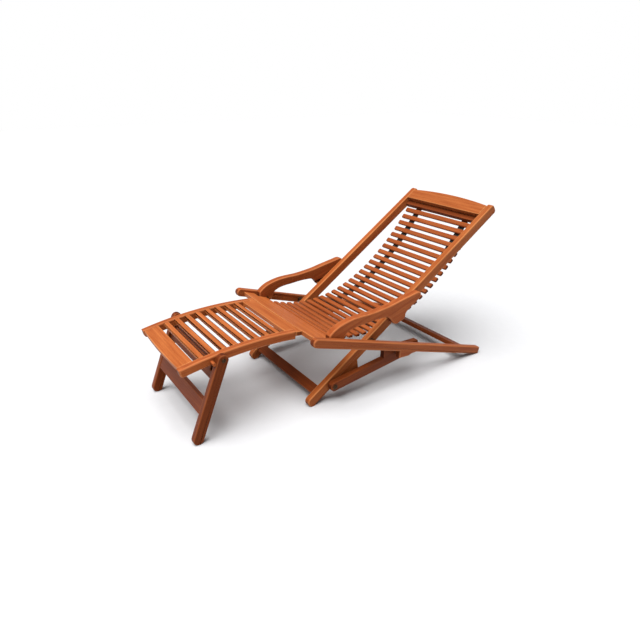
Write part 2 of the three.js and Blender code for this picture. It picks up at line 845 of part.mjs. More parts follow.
const slatsFrom = footrestFront + footrestNose + footrestFrontBoard;
const slatsTo = rearBoardFrom;
const footrestGap = (slatsTo - slatsFrom - footrestSlatCount * footrestSlatWidth) / (footrestSlatCount + 1);
for (let i = 0; i < footrestSlatCount; i += 1) {
  const section = roundedShape([
    [-footrestSlatWidth / 2, -footrestSlatThick], [footrestSlatWidth / 2, -footrestSlatThick],
    [footrestSlatWidth / 2, 0], [-footrestSlatWidth / 2, 0],
  ], [slatRound, slatRound, slatRound, slatRound]);
  const slat = new THREE.ExtrudeGeometry(section, {
    depth: footrestHalf * 2, bevelEnabled: false, curveSegments: roundSteps,
  });
  slat.rotateX(Math.PI / 2);
  slat.translate(0, footrestHalf, 0);
  const at = slatsFrom + footrestGap + footrestSlatWidth / 2 + i * (footrestGap + footrestSlatWidth);
  layOnArch(piece(`footrest_slat_${i + 1}`, slat, oiledTeak), at);
}

// footrest legs, folding back under the footrest; local X runs down the leg
const legFrame = new THREE.Group();
legFrame.position.set(legPivot.x, 0, legPivot.y);
legFrame.rotation.y = Math.PI / 2 + legRake;
chair.add(legFrame);

function legShape() {
  const shape = new THREE.Shape();
  shape.absarc(0, 0, legDepth / 2, Math.PI / 2, Math.PI * 1.5, false);
  shape.absarc(legLength, 0, legDepth / 2, -Math.PI / 2, Math.PI / 2, false);
  return shape;
}

for (const [word, side] of sides) {
  legFrame.add(piece(`footrest_leg_${word}`, cutFrom(sideBoard(legShape(), legInner, legOuter, side), [
    crossPin(0, 0, legBoltRadius + clearance, legInner - overrun, legOuter + overrun, side),
    floorTool(legPivot.y, Math.PI / 2 + legRake),
  ]), darkTeak));
}

const legSpan = legInner - clearance;
const legFace = -legDepth / 2 + footrestInset;
legFrame.add(piece("leg_stretcher", block(
  [legBarFromPivot, -legSpan, legFace], [legBarFromPivot + legBarWidth, legSpan, legFace + legBarThick],
), darkTeak));

const boardFoot = legBoardFromPivot + legBoardWidth;
const boardSpan = footrestInner - crossboardSideGap;
legFrame.add(piece("leg_crossboard", joined([
  block([legBoardFromPivot, -boardSpan, -legBoardSet], [boardFoot, boardSpan, legBoardThick - legBoardSet]),
  block(
    [boardFoot - legBoardTongue, -legSpan, -legBoardSet],
    [boardFoot, legSpan, legBoardThick - legBoardSet],
  ),
]), darkTeak));

for (const [word, side] of sides) {
  chair.add(piece(`leg_bolt_${word}`, boltSteps(legPivot.x, legPivot.y, side, [
    [legBoltRadius, footrestOuter - blindDepth + clearance, legOuter + clearance + legBoltHeadThick],
    [legBoltHead, legOuter + clearance, legOuter + clearance + legBoltHeadThick],
  ]), zincSteel));
}

// the origin is under the middle of the chair, on the floor
chair.updateMatrixWorld(true);
const bounds = new THREE.Box3().setFromObject(chair, true);
chair.position.x = -(bounds.min.x + bounds.max.x) / 2;

export default chair;
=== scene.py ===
# A folding steamer deck chair: oiled hardwood boards, a sling of rounded slats stapled to two
# black webbing straps, and zinc-plated pivot bolts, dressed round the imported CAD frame.
import math
import random

import bmesh
import bpy
import numpy as np
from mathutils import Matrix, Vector


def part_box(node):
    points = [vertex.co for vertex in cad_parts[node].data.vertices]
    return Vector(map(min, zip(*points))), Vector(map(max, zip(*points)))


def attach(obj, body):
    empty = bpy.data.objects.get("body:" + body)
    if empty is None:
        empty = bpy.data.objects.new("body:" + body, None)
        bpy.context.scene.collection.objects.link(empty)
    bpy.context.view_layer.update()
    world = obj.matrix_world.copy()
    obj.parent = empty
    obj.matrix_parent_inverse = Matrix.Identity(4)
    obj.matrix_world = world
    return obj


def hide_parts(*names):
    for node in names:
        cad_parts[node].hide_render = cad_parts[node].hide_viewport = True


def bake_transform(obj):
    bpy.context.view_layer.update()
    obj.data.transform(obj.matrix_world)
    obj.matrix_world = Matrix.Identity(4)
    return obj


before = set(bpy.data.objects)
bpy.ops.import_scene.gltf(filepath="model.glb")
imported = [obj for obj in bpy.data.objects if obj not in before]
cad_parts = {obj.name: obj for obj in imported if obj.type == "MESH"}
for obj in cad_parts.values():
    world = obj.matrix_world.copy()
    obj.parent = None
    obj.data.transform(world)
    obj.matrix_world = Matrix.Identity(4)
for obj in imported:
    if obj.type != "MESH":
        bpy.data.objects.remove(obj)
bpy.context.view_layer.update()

mm = 0.001
weldDistance = 0.00002

# camera, at the photograph's viewing angle
cameraSetup = {
    "place": (-1.21098, -1.7289, 1.1816),
    "back": (-0.514, -0.751, 0.414),  # from the chair towards the lens
    "lens": 29.77,
    "sensor": 36,
}
cameraData = bpy.data.cameras.new("photoCamera")
cameraData.sensor_width = cameraSetup["sensor"]
cameraData.lens = cameraSetup["lens"]
camera = bpy.data.objects.new("photoCamera", cameraData)
camera.location = cameraSetup["place"]
camera.rotation_euler = (-Vector(cameraSetup["back"])).to_track_quat("-Z", "Y").to_euler()
bpy.context.scene.collection.objects.link(camera)
bpy.context.scene.camera = camera
bpy.context.scene.view_settings.view_transform = "Standard"
print("camera in place")


def toLinear(hexColour):
    channels = [int(hexColour[i:i + 2], 16) / 255 for i in (1, 3, 5)]
    return [c / 12.92 if c <= 0.04045 else ((c + 0.055) / 1.055) ** 2.4 for c in channels] + [1]


def addNode(tree, kind, settings=None, links=None):
    node = tree.nodes.new(kind)
    for key, value in (settings or {}).items():
        if isinstance(key, str) and key not in node.inputs:
            setattr(node, key, value)
    for key, value in (settings or {}).items():
        if not isinstance(key, str) or key in node.inputs:
            node.inputs[key].default_value = value
    for key, source in (links or {}).items():
        tree.links.new(source, node.inputs[key])
    return node


def startMaterial(name):
    material = bpy.data.materials.new(name)
    material.use_nodes = True
    tree = material.node_tree
    return material, tree, tree.nodes["Principled BSDF"]


# Keruing, a reddish tropical hardwood, planed, sanded and oiled: straight streaks with fine
# dark pores, a low satin sheen, end grain that drinks the oil and goes dark.
# Its boards differ: most are orange-brown and the red ones a little redder. The parts low on the
# chair and behind the others get a darker copy of the wood, painted shade for the shade they stand
# in.
# The rounded arrises take a lighter colour, part rubbed wear and part painted highlight.
woods = {
    "oiledKeruing": {
        "light": "#A35C2F", "middle": "#8D4720", "dark": "#662C15", "pore": "#431909",
        "endGrain": "#4E200E", "arris": "#B47748", "sheen": "#E08A58",
        "figureAmount": 0.16, "ior": 1.46,
    },
    "redKeruing": {
        "light": "#99532B", "middle": "#86411E", "dark": "#5C2111", "pore": "#3C1207",
        "endGrain": "#461A0C", "arris": "#AC6A42", "sheen": "#E08A58",
        "figureAmount": 0.18, "ior": 1.46,
    },
    # a darker copy of the oiled wood: painted shade for the parts that stand in shade
    "shadedKeruing": {
        "light": "#733717", "middle": "#602A12", "dark": "#411809", "pore": "#280E05",
        "endGrain": "#3B1408", "arris": "#82492A", "sheen": "#D07A50",
        "figureAmount": 0.22, "ior": 1.46,
    },
}
# Sizes are length along the grain by width across it, in mm. Real pores are about 0.3 mm
# wide and are drawn three times as wide, so that they show.
woodPatterns = {"streak": (240, 11), "figure": (620, 26), "fibre": (50, 1.8), "pore": (16, 0.9)}
patternNoise = {"Scale": 1, "Detail": 4, "Roughness": 0.6}
# the bands of a board's figure stand this far apart and wander this far to the side (mm)
growthBands = {"spacing": 8.5, "wander": 26, "distortion": 1.2, "detail": 2, "detailScale": 0.6}
waveTurn = 2 * math.pi / 20  # m, the width of one band of a wave texture whose scale is 1
streakRange = (0.36, 0.66)  # the part of the noise that goes from middle to light
poreRange = (0.58, 0.72)  # the part of the noise that makes a pore
poreDepth = 0.75  # how much of the pore's own colour shows in it
toneRange = (0.86, 1.12)  # from the darkest board to the lightest
endGrainShare = 0.7
roughRange = (0.40, 0.60)
woodBump = {"strength": 0.35, "depth": 0.35}  # depth in mm
oiledSheen = 0.32  # the oil has soaked in, so the wood shines less than a varnished one
boardAttributes = ("grain", "boardTone", "endGrain", "arris")  # what layGrain and dressBoard write

woodMaterials = {}
for woodName, wood in woods.items():
    material, tree, shader = startMaterial(woodName)
    grain, boardTone, endGrain, arris = (
        addNode(tree, "ShaderNodeAttribute", {"attribute_name": name}) for name in boardAttributes)
    noises = {}
    for pattern, (length, width) in woodPatterns.items():
        stretch = addNode(tree, "ShaderNodeMapping", {
            "Scale": (1 / (length * mm), 1 / (width * mm), 1 / (width * mm)),
        }, {"Vector": grain.outputs["Vector"]})
        noises[pattern] = addNode(
            tree, "ShaderNodeTexNoise", patternNoise, {"Vector": stretch.outputs["Vector"]})
    bend = addNode(tree, "ShaderNodeVectorMath", {
        "operation": "MULTIPLY_ADD",
        1: (0, growthBands["wander"] * mm, growthBands["wander"] * mm),
    }, {0: noises["figure"].outputs["Color"], 2: grain.outputs["Vector"]})
    bands = addNode(tree, "ShaderNodeTexWave", {
        "bands_direction": "Y", "Scale": waveTurn / (growthBands["spacing"] * mm),
        "Distortion": growthBands["distortion"], "Detail": growthBands["detail"],
        "Detail Scale": growthBands["detailScale"],
    }, {"Vector": bend.outputs["Vector"]})
    streakShare = addNode(tree, "ShaderNodeMapRange", {
        "From Min": streakRange[0], "From Max": streakRange[1],
    }, {"Value": noises["streak"].outputs["Fac"]})
    figureShare = addNode(tree, "ShaderNodeMath", {
        "operation": "MULTIPLY", 1: wood["figureAmount"],
    }, {0: bands.outputs["Fac"]})
    poreShare = addNode(tree, "ShaderNodeMapRange", {
        "From Min": poreRange[0], "From Max": poreRange[1], "To Max": poreDepth,
    }, {"Value": noises["pore"].outputs["Fac"]})
    streaked = addNode(tree, "ShaderNodeMix", {
        "data_type": "RGBA", 6: toLinear(wood["middle"]), 7: toLinear(wood["light"]),
    }, {0: streakShare.outputs["Result"]})
    figured = addNode(tree, "ShaderNodeMix", {
        "data_type": "RGBA", 7: toLinear(wood["dark"]),
    }, {0: figureShare.outputs["Value"], 6: streaked.outputs[2]})
    pored = addNode(tree, "ShaderNodeMix", {
        "data_type": "RGBA", 7: toLinear(wood["pore"]),
    }, {0: poreShare.outputs["Result"], 6: figured.outputs[2]})
    brightness = addNode(tree, "ShaderNodeMapRange", {
        "To Min": toneRange[0], "To Max": toneRange[1],
    }, {"Value": boardTone.outputs["Fac"]})
    toned = addNode(tree, "ShaderNodeHueSaturation", {}, {
        "Color": pored.outputs[2], "Value": brightness.outputs["Result"],
    })
    endShare = addNode(tree, "ShaderNodeMath", {
        "operation": "MULTIPLY", 1: endGrainShare,
    }, {0: endGrain.outputs["Fac"]})
    ended = addNode(tree, "ShaderNodeMix", {
        "data_type": "RGBA", 7: toLinear(wood["endGrain"]),
    }, {0: endShare.outputs["Value"], 6: toned.outputs["Color"]})
    # the rounded arrises turn lighter where the streaks are light: rubbed wear, with a painted
    # highlight for the light the edges catch
    arrisShare = addNode(tree, "ShaderNodeMath", {
        "operation": "MULTIPLY",
    }, {0: arris.outputs["Fac"], 1: noises["streak"].outputs["Fac"]})
    wearAndHighlight = addNode(tree, "ShaderNodeMix", {
        "data_type": "RGBA", 7: toLinear(wood["arris"]),
    }, {0: arrisShare.outputs["Value"], 6: ended.outputs[2]})
    roughness = addNode(tree, "ShaderNodeMapRange", {
        "To Min": roughRange[0], "To Max": roughRange[1],
    }, {"Value": noises["fibre"].outputs["Fac"]})
    relief = addNode(tree, "ShaderNodeMath", {
        "operation": "SUBTRACT",
    }, {0: noises["fibre"].outputs["Fac"], 1: poreShare.outputs["Result"]})
    bump = addNode(tree, "ShaderNodeBump", {
        "Strength": woodBump["strength"], "Distance": woodBump["depth"] * mm,
    }, {"Height": relief.outputs["Value"]})
    shader.inputs["IOR"].default_value = wood["ior"]
    shader.inputs["Specular IOR Level"].default_value = oiledSheen
    shader.inputs["Specular Tint"].default_value = toLinear(wood["sheen"])
    tree.links.new(wearAndHighlight.outputs[2], shader.inputs["Base Color"])
    tree.links.new(roughness.outputs["Result"], shader.inputs["Roughness"])
    tree.links.new(bump.outputs["Normal"], shader.inputs["Normal"])
    woodMaterials[woodName] = material

# Polypropylene webbing, woven: black, dull, with ribs across a flat narrow band.
# The real ribs stand about 1.5 mm apart and are drawn 3 mm apart, so that they show.
webbing = {
    "warp": "#1B1714", "weft": "#0C0A09", "rib": 3.0, "yarn": 1.6,
    "roughness": 0.78, "fuzz": 0.15, "bump": 0.6, "depth": 0.4,
}
webbingMaterial, tree, shader = startMaterial("wovenPolypropylene")
weave = addNode(tree, "ShaderNodeAttribute", {"attribute_name": "weave"})
weaveWaves = []
for direction, spacing in (("X", webbing["rib"]), ("Y", webbing["yarn"])):
    weaveWaves.append(addNode(tree, "ShaderNodeTexWave", {
        "bands_direction": direction, "Scale": waveTurn / (spacing * mm),
    }, {"Vector": weave.outputs["Vector"]}))
weaveHeight = addNode(tree, "ShaderNodeMath", {
    "operation": "MULTIPLY",
}, {0: weaveWaves[0].outputs["Fac"], 1: weaveWaves[1].outputs["Fac"]})
weaveColour = addNode(tree, "ShaderNodeMix", {
    "data_type": "RGBA", 6: toLinear(webbing["weft"]), 7: toLinear(webbing["warp"]),
}, {0: weaveHeight.outputs["Value"]})
weaveBump = addNode(tree, "ShaderNodeBump", {
    "Strength": webbing["bump"], "Distance": webbing["depth"] * mm,
}, {"Height": weaveHeight.outputs["Value"]})
shader.inputs["Roughness"].default_value = webbing["roughness"]
shader.inputs["Sheen Weight"].default_value = webbing["fuzz"]
tree.links.new(weaveColour.outputs[2], shader.inputs["Base Color"])
tree.links.new(weaveBump.outputs["Normal"], shader.inputs["Normal"])

# Zinc-plated steel, weathered: a dull brownish-grey metal, cloudy where oil has dried on it.
zinc = {
    "clean": "#5A4230", "cloudy": "#35261B", "cloud": 6.0, "cloudDetail": 3, "rough": (0.38, 0.6),
}
zincMaterial, tree, shader = startMaterial("zincPlatedSteel")
place = addNode(tree, "ShaderNodeTexCoord")
clouds = addNode(tree, "ShaderNodeTexNoise", {
    "Scale": 1 / (zinc["cloud"] * mm), "Detail": zinc["cloudDetail"],
}, {"Vector": place.outputs["Object"]})
zincColour = addNode(tree, "ShaderNodeMix", {
    "data_type": "RGBA", 6: toLinear(zinc["clean"]), 7: toLinear(zinc["cloudy"]),
}, {0: clouds.outputs["Fac"]})
zincRough = addNode(tree, "ShaderNodeMapRange", {
    "To Min": zinc["rough"][0], "To Max": zinc["rough"][1],
}, {"Value": clouds.outputs["Fac"]})
shader.inputs["Metallic"].default_value = 1
tree.links.new(zincColour.outputs[2], shader.inputs["Base Color"])
tree.links.new(zincRough.outputs["Result"], shader.inputs["Roughness"])
print("materials made")


def addPiece(name, mesh, material):
    piece = bpy.data.objects.new(name, mesh)
    bpy.context.scene.collection.objects.link(piece)
    mesh.materials.clear()
    mesh.materials.append(material)
    return piece


# a closed skin over rings of points that follow one another, with a flat cap at each end
def skinRings(name, bm, rings):
    for ring, nextRing in zip(rings, rings[1:]):
        for i in range(len(ring)):
            j = (i + 1) % len(ring)
            bm.faces.new((ring[i], ring[j], nextRing[j], nextRing[i]))
    bm.faces.new(rings[0][::-1])
    bm.faces.new(rings[-1])
    bmesh.ops.recalc_face_normals(bm, faces=bm.faces)
    mesh = bpy.data.meshes.new(name)
    bm.to_mesh(mesh)
    bm.free()
    return mesh


timberReach = 9  # m, how far apart in the tree two boards can start
endFacing = 0.8  # a face is end grain where its normal points this far along the grain


# grain runs along one direction of a board; each board is cut from another part of the tree
def layGrain(mesh, name, along, across, toneShare=1):
    axes = np.array([along, across, np.cross(along, across)], float)
    axes /= np.linalg.norm(axes, axis=1)[:, None]
    draw = random.Random(name)
    start = np.array([draw.uniform(0, timberReach) for _ in range(3)])
    places = np.empty(len(mesh.vertices) * 3, np.float32)
    mesh.vertices.foreach_get("co", places)
    coordinates = places.reshape(-1, 3) @ axes.T + start
    mesh.attributes.new("grain", "FLOAT_VECTOR", "POINT").data.foreach_set(
        "vector", coordinates.astype(np.float32).ravel())
    mesh.attributes.new("boardTone", "FLOAT", "POINT").data.foreach_set(
        "value", np.full(len(mesh.vertices), toneShare * draw.random(), np.float32))
    normals = np.empty(len(mesh.polygons) * 3, np.float32)
    mesh.polygons.foreach_get("normal", normals)
    isEnd = np.abs(normals.reshape(-1, 3) @ axes[0]) > endFacing
    mesh.attributes.new("endGrain", "FLOAT", "FACE").data.foreach_set(
        "value", isEnd.astype(np.float32))


smoothAngles = {"board": 38, "slat": 50, "webbing": 60, "bolt": 32}  # degrees


def smoothOver(piece, kind):
    piece.data.shade_smooth()
    piece.data.set_sharp_from_angle(angle=math.radians(smoothAngles[kind]))
    modifier = piece.modifiers.new("evenNormals", "WEIGHTED_NORMAL")
    modifier.keep_sharp = True


# the directions along and across the grain of a board that slopes up towards the head
def grainDirections(spec):
    slope = math.radians(spec["slope"])
    rising = (math.cos(slope), 0, math.sin(slope))
    if spec["grain"] == "fore":
        return rising, (-math.sin(slope), 0, math.cos(slope))
    return (0, 1, 0), rising


sideFacing = 0.99  # a side's normal points at least this far across the chair
levelDigits = 4  # sides within 0.1 mm of each other count as one plane
boltAxes = []
for drilled in ("scissor_bolt", "armrest_bolt", "rack_bolt", "leg_bolt", "rack_peg"):
    low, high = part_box(drilled + "_left")
    boltAxes.append((low + high) / 2)
holeReach = 13 * mm  # from a bolt's axis to the rim of its hole, at most
floorReach = 0.5 * mm
shortEdge = 8 * mm  # the facets of a small hole are shorter than this
planeReach = 3 * weldDistance


# the two planes that carry most of the sides of a board that stands on edge
def sidePlanes(bm):
    areas = {}
    for face in bm.faces:
        if abs(face.normal.y) > sideFacing:
            level = round(face.verts[0].co.y, levelDigits)
            areas[level] = areas.get(level, 0) + face.calc_area()
    return sorted(areas, key=areas.get)[-2:]


# holes for bolts and the edges of a foot on the floor stay sharp
def isOutline(edge, planes):
    if max(vertex.co.z for vertex in edge.verts) < floorReach:
        return False
    middle = (edge.verts[0].co + edge.verts[1].co) / 2
    if any(math.hypot(middle.x - axis.x, middle.z - axis.z) < holeReach for axis in boltAxes):
        return False
    return any(
        all(abs(vertex.co.y - plane) < planeReach for vertex in edge.verts) for plane in planes)


flatAngle = 0.6  # degrees, faces that turn less than this are one face
sharpAngle = 34  # degrees, an edge that turns more than this is an arris
arrisSteps = 3


# a board planed to the CAD outline, with its arrises rounded over
def dressBoard(nodeName, body, spec):
    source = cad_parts[nodeName].data
    bm = bmesh.new()
    corners = [bm.verts.new(vertex.co) for vertex in source.vertices]
    for polygon in source.polygons:
        bm.faces.new([corners[i] for i in polygon.vertices])
    bmesh.ops.remove_doubles(bm, verts=bm.verts, dist=weldDistance)
    bmesh.ops.dissolve_limit(
        bm, angle_limit=math.radians(flatAngle), verts=bm.verts, edges=bm.edges)
    bm.normal_update()
    turned = [
        edge for edge in bm.edges
        if len(edge.link_faces) == 2 and edge.is_convex
        and edge.calc_face_angle() > math.radians(spec.get("sharp", sharpAngle))
    ]
    if spec["grain"] == "fore":
        planes = sidePlanes(bm)
        turned = [edge for edge in turned if isOutline(edge, planes)]
    else:
        turned = [edge for edge in turned if edge.calc_length() > shortEdge]
    # the faces made by rounding over take the lighter arris colour: rubbed wear and painted
    # highlight
    wearAndHighlight = bm.faces.layers.float.new("arris")
    made = bmesh.ops.bevel(
        bm, geom=turned, offset=spec["round"] * mm, offset_type="OFFSET", segments=arrisSteps,
        profile=0.5, affect="EDGES", clamp_overlap=False)
    for face in made["faces"]:
        face[wearAndHighlight] = 1
    mesh = bpy.data.meshes.new(nodeName + "_board")
    bm.to_mesh(mesh)
    bm.free()
    layGrain(mesh, nodeName, *grainDirections(spec))
    wood = spec["wood"]
    piece = addPiece(nodeName + "_board", mesh, woodMaterials[wood])
    smoothOver(piece, "board")
    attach(piece, body)
    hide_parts(nodeName)


# boards of each frame: whether the grain runs fore and aft or across, the board's slope in
# degrees, how far its arrises are rounded over in mm, and its wood
seatFrameBoards = {
    "seat_rail": {
        "grain": "fore", "slope": -17.94, "round": 5.0, "wood": "redKeruing", "pair": True,
    },
    "seat_front_board": {"grain": "cross", "slope": -3, "round": 3.0, "wood": "oiledKeruing"},
    "seat_rear_stretcher": {
        "grain": "cross", "slope": -17.94, "round": 2.5, "wood": "shadedKeruing",
    },
    "rack_peg": {
        "grain": "cross", "slope": 0, "round": 1.0, "wood": "shadedKeruing", "pair": True,
    },
}
backFrameBoards = {
    "back_stile": {
        "grain": "fore", "slope": 34, "round": 4.5, "wood": "oiledKeruing", "pair": True,
    },
    "headboard": {"grain": "cross", "slope": 34, "round": 3.0, "wood": "oiledKeruing"},
    "sling_top_bar": {"grain": "cross", "slope": 34, "round": 2.0, "wood": "shadedKeruing"},
    "front_stretcher": {"grain": "cross", "slope": 34, "round": 2.5, "wood": "shadedKeruing"},
}
armrestBoards = {
    "armrest": {"grain": "fore", "slope": 16, "round": 5.0, "wood": "redKeruing"},
}
rackBoards = {
    "rack_bar": {"grain": "fore", "slope": 7.4, "round": 1.5, "wood": "shadedKeruing"},
}
footrestBoards = {
    "footrest_rail": {
        "grain": "fore", "slope": 2, "round": 6.0, "wood": "redKeruing", "pair": True,
    },
    "footrest_front_board": {"grain": "cross", "slope": 8, "round": 3.0, "wood": "oiledKeruing"},
    "footrest_rear_board": {"grain": "cross", "slope": -6, "round": 2.5, "wood": "oiledKeruing"},
}
legBoards = {
    "footrest_leg": {
        "grain": "fore", "slope": 67.6, "round": 4.0, "wood": "shadedKeruing", "pair": True,
    },
    "leg_stretcher": {"grain": "cross", "slope": 67.6, "round": 2.5, "wood": "shadedKeruing"},
    "leg_crossboard": {"grain": "cross", "slope": 67.6, "round": 2.5, "wood": "shadedKeruing"},
}
for boards, body in (
    (seatFrameBoards, "seat_frame"), (backFrameBoards, "back_frame"),
    (footrestBoards, "footrest"), (legBoards, "footrest_legs"),
):
    for boardName, spec in boards.items():
        ends = ("_left", "_right") if spec.get("pair") else ("",)
        for end in ends:
            dressBoard(boardName + end, body, spec)
for side in ("left", "right"):
    dressBoard("armrest_" + side, "armrest_" + side, armrestBoards["armrest"])
    dressBoard("rack_bar_" + side, "rack_" + side, rackBoards["rack_bar"])
# the CAD slats are already rounded along their length, so only steeper edges are rounded over
footrestSlat = {
    "count": 8, "grain": "cross", "slope": 0, "round": 2.5, "wood": "oiledKeruing", "sharp": 50,
}
for number in range(footrestSlat["count"]):
    dressBoard(f"footrest_slat_{number + 1}", "footrest", footrestSlat)
print("boards dressed")

# the sling: rounded slats at an even pitch along a hanging line, which is a curve through four
# control points in the side view (mm); half is half a slat's length
sling = {
    "line": (
        (-149.7191, 278.3028), (185.0770, 138.5557), (482.3514, 364.4121), (658.1335, 611.9601),
    ),
    "lead": 9, "pitch": 35.76557, "count": 26, "seatSlats": 6, "bendSlats": 3,
    "width": 22, "thick": 14, "half": 215, "round": 4.6, "cornerSteps": 5, "crown": 0.2,
    "endRound": 6, "endInset": 4.8, "endSteps": 5,
    "wood": "redKeruing", "toneShare": 0.25,  # the slats are sawn from few boards and look alike
}
lineSteps = 3000
lineReach = 1  # mm before and after a point, to find the line's direction there
shares = np.linspace(0, 1, lineSteps + 1)[:, None]
p0, p1, p2, p3 = (np.array(p) for p in sling["line"])
linePoints = (
    (1 - shares) ** 3 * p0 + 3 * (1 - shares) ** 2 * shares * p1
    + 3 * (1 - shares) * shares ** 2 * p2 + shares ** 3 * p3
)
lineRun = np.concatenate([[0], np.cumsum(np.linalg.norm(np.diff(linePoints, axis=0), axis=1))])


def onLine(distance):
    at = np.array([np.interp(distance, lineRun, linePoints[:, i]) for i in (0, 1)])
    before, after = max(distance - lineReach, 0), min(distance + lineReach, lineRun[-1])
    ahead = np.array([
        np.interp(after, lineRun, linePoints[:, i]) - np.interp(before, lineRun, linePoints[:, i])
        for i in (0, 1)
    ])
    ahead /= np.linalg.norm(ahead)
    return at, ahead, np.array([-ahead[1], ahead[0]])


# the section of a slat: flat sides, round corners and a slightly crowned top, from its middle
def slatSection(inset):
    halfWidth = sling["width"] / 2
    halfThick = sling["thick"] / 2
    points = []
    for quarter in range(4):
        cornerX = (halfWidth - sling["round"]) * (1, -1, -1, 1)[quarter]
        cornerZ = (halfThick - sling["round"]) * (1, 1, -1, -1)[quarter]
        for step in range(sling["cornerSteps"] + 1):
            angle = math.pi / 2 * (quarter + step / sling["cornerSteps"])
            points.append((
                cornerX + sling["round"] * math.cos(angle),
                cornerZ + sling["round"] * math.sin(angle),
            ))
        if quarter == 0:
            points.append((0, halfThick))
    scaleX = (halfWidth - inset) / halfWidth
    scaleZ = (halfThick - inset) / halfThick
    crowned = [(x, z - sling["crown"] if z > 0 and x else z) for x, z in points]
    return [(x * scaleX, z * scaleZ) for x, z in crowned]


def slatMesh(index):
    at, ahead, up = onLine(sling["lead"] + (index + 0.5) * sling["pitch"])
    middle = at - up * sling["thick"] / 2
    rounding = []
    for step in range(sling["endSteps"], -1, -1):
        turn = math.pi / 2 * step / sling["endSteps"]
        rounding.append((
            -sling["half"] + sling["endRound"] * (1 - math.sin(turn)),
            sling["endInset"] * (1 - math.cos(turn)),
        ))
    bm = bmesh.new()
    rings = []
    for y, inset in rounding + [(-y, inset) for y, inset in reversed(rounding)]:
        ring = []
        for x, z in slatSection(inset):
            spot = middle + ahead * x + up * z
            ring.append(bm.verts.new((spot[0] * mm, y * mm, spot[1] * mm)))
        rings.append(ring)
    mesh = skinRings(f"sling_slat_{index + 1}", bm, rings)
    layGrain(mesh, mesh.name, (0, 1, 0), (ahead[0], 0, ahead[1]), sling["toneShare"])
    return mesh


for index in range(sling["count"]):
    mesh = slatMesh(index)
    piece = addPiece(mesh.name, mesh, woodMaterials[sling["wood"]])
    smoothOver(piece, "slat")
    if index < sling["seatSlats"]:
        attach(piece, "seat_frame")
        if index == 0:
            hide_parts("sling_seat")
    elif index < sling["seatSlats"] + sling["bendSlats"]:
        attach(piece, "sling_middle")
        if index == sling["seatSlats"]:
            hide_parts("sling_bend")
    else:
        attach(piece, "back_frame")
        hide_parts(f"back_slat_{index + 1}")
print("slats laid")

# webbing: from under the front board, under every slat, and up to the top bar (mm, top side);
# from, to, split and the two gaps are distances along the hanging line
strapSpec = {
    "width": 36, "thick": 1.8, "offset": 147, "underSlat": 14.3, "step": 4,
    "acrossSteps": 6, "rim": 0.5,  # the edges of the band are pressed this much thinner
    "front": ((-194.5, 272.6), (-176, 265.6), (-160, 259.6), (-152, 258.6)),
    "back": ((669.0, 599.4), (676.0, 605.8), (681.1, 610.1)),
    "from": 12, "to": 930, "split": 324, "seatGap": (217.5, 229.5), "backGap": (324, 337),
}
strapTop = [np.array(p, float) for p in strapSpec["front"]]
distance = strapSpec["from"]
while distance <= strapSpec["to"]:
    at, ahead, up = onLine(distance)
    strapTop.append(at - up * strapSpec["underSlat"])
    distance += strapSpec["step"]
strapTop += [np.array(p, float) for p in strapSpec["back"]]
strapTop = np.array(strapTop)
strapAhead = np.gradient(strapTop, axis=0)
strapAhead /= np.linalg.norm(strapAhead, axis=1)[:, None]
strapUp = np.stack([-strapAhead[:, 1], strapAhead[:, 0]], axis=1)
strapRun = np.concatenate([[0], np.cumsum(np.linalg.norm(np.diff(strapTop, axis=0), axis=1))])


def strapMesh(name, side, firstRow, lastRow):
    bm = bmesh.new()
    halfWidth = strapSpec["width"] / 2
    acrossSteps = strapSpec["acrossSteps"]
    rows = []
    for top, up in zip(strapTop[firstRow:lastRow + 1], strapUp[firstRow:lastRow + 1]):
        row = []
        for face in (0, 1):
            order = range(acrossSteps + 1) if face == 0 else range(acrossSteps, -1, -1)
            for i in order:
                y = side * strapSpec["offset"] + halfWidth * (2 * i / acrossSteps - 1)
                rim = strapSpec["rim"] if i in (0, acrossSteps) else 0
                spot = top - up * (strapSpec["thick"] * face + (rim if face == 0 else -rim))
                row.append(bm.verts.new((spot[0] * mm, y * mm, spot[1] * mm)))
        rows.append(row)
    mesh = skinRings(name, bm, rows)
    perRow = 2 * (acrossSteps + 1)
    weaveAt = np.zeros((len(mesh.vertices), 3), np.float32)
    for number, vertex in enumerate(mesh.vertices):
        weaveAt[number] = (strapRun[firstRow + number // perRow] * mm, vertex.co.y, 0)
    mesh.attributes.new("weave", "FLOAT_VECTOR", "POINT").data.foreach_set(
        "vector", weaveAt.ravel())
    return mesh


# each band is two pieces that meet behind the middle slats, which turn half as far as the back;
# the gaps after the seat slats and before the back's are worked out, but both pieces stay fixed
# where they are laid
splitRow = len(strapSpec["front"]) + (strapSpec["split"] - strapSpec["from"]) // strapSpec["step"]
seatGap = [onLine(distance)[0] for distance in strapSpec["seatGap"]]
backGap = [onLine(distance)[0] for distance in strapSpec["backGap"]]
backGap[0] = 2 * backGap[0] - backGap[1]  # the gap's front end is set back by the gap's length; no bend is made at the split
stretches = {
    "front": {"rows": (0, splitRow), "to": "sling_middle", "gap": seatGap},
    "back": {"rows": (splitRow, len(strapTop) - 1), "to": "back_frame", "gap": backGap},
}
for end, side in (("left", -1), ("right", 1)):
    for stretchName, stretch in stretches.items():
        name = f"sling_webbing_{stretchName}_{end}"
        mesh = strapMesh(name, side, *stretch["rows"])
        piece = addPiece(name, mesh, webbingMaterial)
        smoothOver(piece, "webbing")
        if stretchName == "back":
            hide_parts("back_strap_" + end)
        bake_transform(piece)
print("webbing stapled on")

